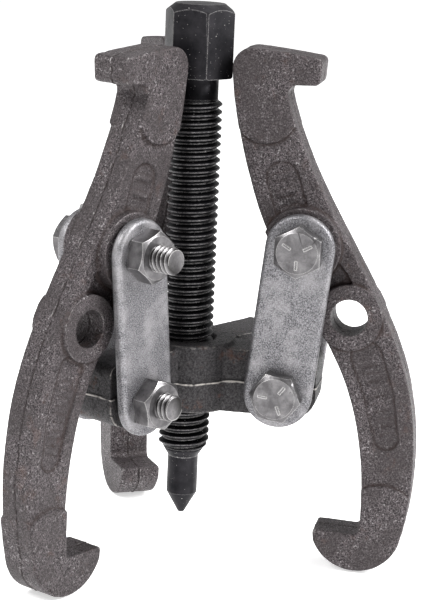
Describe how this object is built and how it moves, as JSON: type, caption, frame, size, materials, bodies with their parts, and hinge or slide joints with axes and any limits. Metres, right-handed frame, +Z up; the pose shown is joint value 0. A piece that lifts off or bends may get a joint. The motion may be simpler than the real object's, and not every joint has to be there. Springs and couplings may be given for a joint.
{
  "type": "three-jaw gear puller",
  "caption": "Reversible-jaw gear puller: hex-headed forcing screw through a cast yoke, with hooked jaws hung on paired link plates that swing on bolts.",
  "frame": {"origin": "the point (tip) of the forcing screw, on the screw's axis, with the screw as drawn", "axes": "+Z up the screw towards its hexagonal head; one jaw faces -Y, the yoke's empty fourth ear faces +Y, and the other two jaws are 120 degrees to each side"},
  "size_m": [0.1052, 0.0918, 0.1371],
  "materials": {
    "jaw_casting": "bare cast steel, tumbled, warm grey-brown with worn edges",
    "yoke_casting": "rough black casting, chipped at the collar and the parting line",
    "black_screw": "oiled black oxide with bright thread crests",
    "link_steel": "tumbled steel plate, speckled blue-grey",
    "zinc_steel": "bright zinc-plated steel fasteners"
  },
  "bodies": {
    "yoke": {"yoke": "yoke_casting"},
    "nose": {"screw_nose": "black_screw"},
    "screw": {"forcing_screw": "black_screw"},
    "link_a": {"link_head_side_a": "link_steel", "link_nut_side_a": "link_steel", "lower_bolt_a": "zinc_steel", "lower_nut_a": "zinc_steel", "upper_bolt_a": "zinc_steel", "upper_nut_a": "zinc_steel"},
    "jaw_a": {"jaw_a": "jaw_casting"},
    "link_b": {"link_head_side_b": "link_steel", "link_nut_side_b": "link_steel", "lower_bolt_b": "zinc_steel", "lower_nut_b": "zinc_steel", "upper_bolt_b": "zinc_steel", "upper_nut_b": "zinc_steel"},
    "jaw_b": {"jaw_b": "jaw_casting"},
    "link_c": {"link_head_side_c": "link_steel", "link_nut_side_c": "link_steel", "lower_bolt_c": "zinc_steel", "lower_nut_c": "zinc_steel", "upper_bolt_c": "zinc_steel", "upper_nut_c": "zinc_steel"},
    "jaw_c": {"jaw_c": "jaw_casting"}
  },
  "joints": [
    {"name": "screw_feed", "type": "slide", "parent": "yoke", "child": "nose", "axis": [0, 0, 1], "range_m": [-0.056, 0.0097]},
    {"name": "screw_turn", "type": "hinge", "parent": "nose", "child": "screw", "pos_m": [0, 0, 0], "axis": [0, 0, 1], "range_deg": [-10350, 1800]},
    {"name": "link_swing_a", "type": "hinge", "parent": "yoke", "child": "link_a", "pos_m": [0, -0.0245, 0.0357], "axis": [1, 0, 0], "range_deg": [0, 20]},
    {"name": "jaw_swing_a", "type": "hinge", "parent": "link_a", "child": "jaw_a", "pos_m": [0, -0.02819, 0.07171], "axis": [1, 0, 0], "range_deg": [0, 7]},
    {"name": "link_swing_b", "type": "hinge", "parent": "yoke", "child": "link_b", "pos_m": [0.02122, 0.01225, 0.0357], "axis": [-0.5, 0.866, 0], "range_deg": [0, 20]},
    {"name": "jaw_swing_b", "type": "hinge", "parent": "link_b", "child": "jaw_b", "pos_m": [0.02441, 0.01409, 0.07171], "axis": [-0.5, 0.866, 0], "range_deg": [0, 7]},
    {"name": "link_swing_c", "type": "hinge", "parent": "yoke", "child": "link_c", "pos_m": [-0.02122, 0.01225, 0.0357], "axis": [-0.5, -0.866, 0], "range_deg": [0, 20]},
    {"name": "jaw_swing_c", "type": "hinge", "parent": "link_c", "child": "jaw_c", "pos_m": [-0.02441, 0.01409, 0.07171], "axis": [-0.5, -0.866, 0], "range_deg": [0, 7]}
  ],
  "couplings": [
    {"joint": "screw_turn", "follows": "screw_feed", "rad_per_m": 3215.8}
  ]
}
